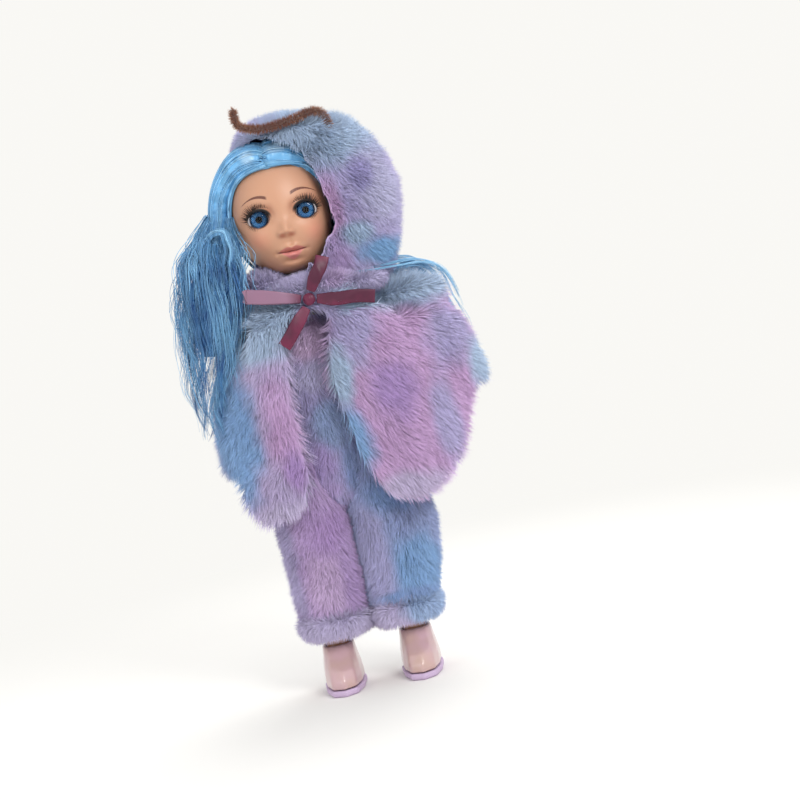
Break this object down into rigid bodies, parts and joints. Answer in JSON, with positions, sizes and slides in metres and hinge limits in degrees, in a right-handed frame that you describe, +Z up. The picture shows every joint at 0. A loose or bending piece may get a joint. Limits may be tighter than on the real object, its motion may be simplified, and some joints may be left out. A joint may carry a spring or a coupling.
{
  "type": "fashion doll",
  "caption": "Standing girl doll with long blue hair, inset eyes, a hooded faux-fur cape, furry romper trousers with cuffs, a satin bow, a pipe-cleaner antenna and shoes.",
  "frame": {"origin": "on the floor, under the middle of the whole doll's box", "axes": "+Z up along the standing doll, -Y is where the face looks, +X is the doll's own left"},
  "size_m": [0.1808, 0.1008, 0.3618],
  "materials": {
    "vinyl": "satin painted vinyl",
    "acrylic_white": "polished",
    "acrylic_blue": "polished, printed iris",
    "acrylic_clear": "polished, clear",
    "lash_hair": "matt synthetic hair",
    "hair": "satin synthetic hair",
    "fur_blue": "soft pile",
    "fur_lilac": "soft pile",
    "fur_pale": "soft pile",
    "satin": "satin weave",
    "chenille": "matt chenille",
    "pearl": "pearl sheen",
    "sole": "matt",
    "white_plastic": "matt"
  },
  "bodies": {
    "torso": {"torso_front_shell": "white_plastic", "torso_back_shell": "white_plastic", "neck_post": "vinyl", "romper_front": "fur_lilac", "romper_back_left": "fur_lilac", "romper_back_right": "fur_lilac", "romper_gusset": "fur_lilac", "cape_yoke": "fur_pale", "cape_front_left": "fur_lilac", "cape_front_right": "fur_blue", "cape_back": "fur_blue", "cape_wing_left": "fur_pale", "cape_wing_right": "fur_blue", "ribbon_knot": "satin", "ribbon_loop": "satin", "ribbon_tail_side": "satin", "ribbon_tail_up": "satin", "ribbon_tail_down": "satin"},
    "arm_left": {"arm_left": "vinyl", "shoulder_plug_left": "white_plastic"},
    "arm_right": {"arm_right": "vinyl", "shoulder_plug_right": "white_plastic"},
    "leg_left": {"leg_left": "vinyl", "hip_plug_left": "white_plastic", "romper_leg_left": "fur_blue", "cuff_left": "fur_pale", "shoe_left": "pearl", "shoe_sole_left": "sole"},
    "leg_right": {"leg_right": "vinyl", "hip_plug_right": "white_plastic", "romper_leg_right": "fur_lilac", "cuff_right": "fur_pale", "shoe_right": "pearl", "shoe_sole_right": "sole"},
    "head": {"head_shell": "vinyl", "eyeball_left": "acrylic_white", "eyeball_right": "acrylic_white", "iris_left": "acrylic_blue", "iris_right": "acrylic_blue", "cornea_left": "acrylic_clear", "cornea_right": "acrylic_clear", "lashes_left": "lash_hair", "lashes_right": "lash_hair", "hair_cap": "hair", "hood_left": "fur_pale", "hood_right": "fur_pale", "antenna_stem": "chenille", "antenna_tie": "chenille", "hair_lock_left": "hair", "hair_lock_right": "hair"}
  },
  "joints": [
    {"name": "neck_turn", "type": "hinge", "parent": "torso", "child": "head", "pos_m": [-0.01537, -0.00609, 0.258], "axis": [0, 0, 1], "range_deg": [-60, 60], "deforming": ["hair_lock_left", "hair_lock_right", "ribbon_tail_up"]},
    {"name": "shoulder_left", "type": "hinge", "parent": "torso", "child": "arm_left", "pos_m": [0.01663, -0.00509, 0.222], "axis": [-1, 0, 0], "range_deg": [-25, 90], "deforming": ["cape_wing_left"]},
    {"name": "shoulder_right", "type": "hinge", "parent": "torso", "child": "arm_right", "pos_m": [-0.04737, -0.00509, 0.222], "axis": [-1, 0, 0], "range_deg": [-25, 90], "deforming": ["cape_wing_right"]},
    {"name": "hip_left", "type": "hinge", "parent": "torso", "child": "leg_left", "pos_m": [0.00913, -0.00909, 0.138], "axis": [-1, 0, 0], "range_deg": [-15, 90], "deforming": ["cape_front_left"]},
    {"name": "hip_right", "type": "hinge", "parent": "torso", "child": "leg_right", "pos_m": [-0.03987, -0.00909, 0.138], "axis": [-1, 0, 0], "range_deg": [-15, 90], "deforming": ["cape_front_right"]}
  ]
}
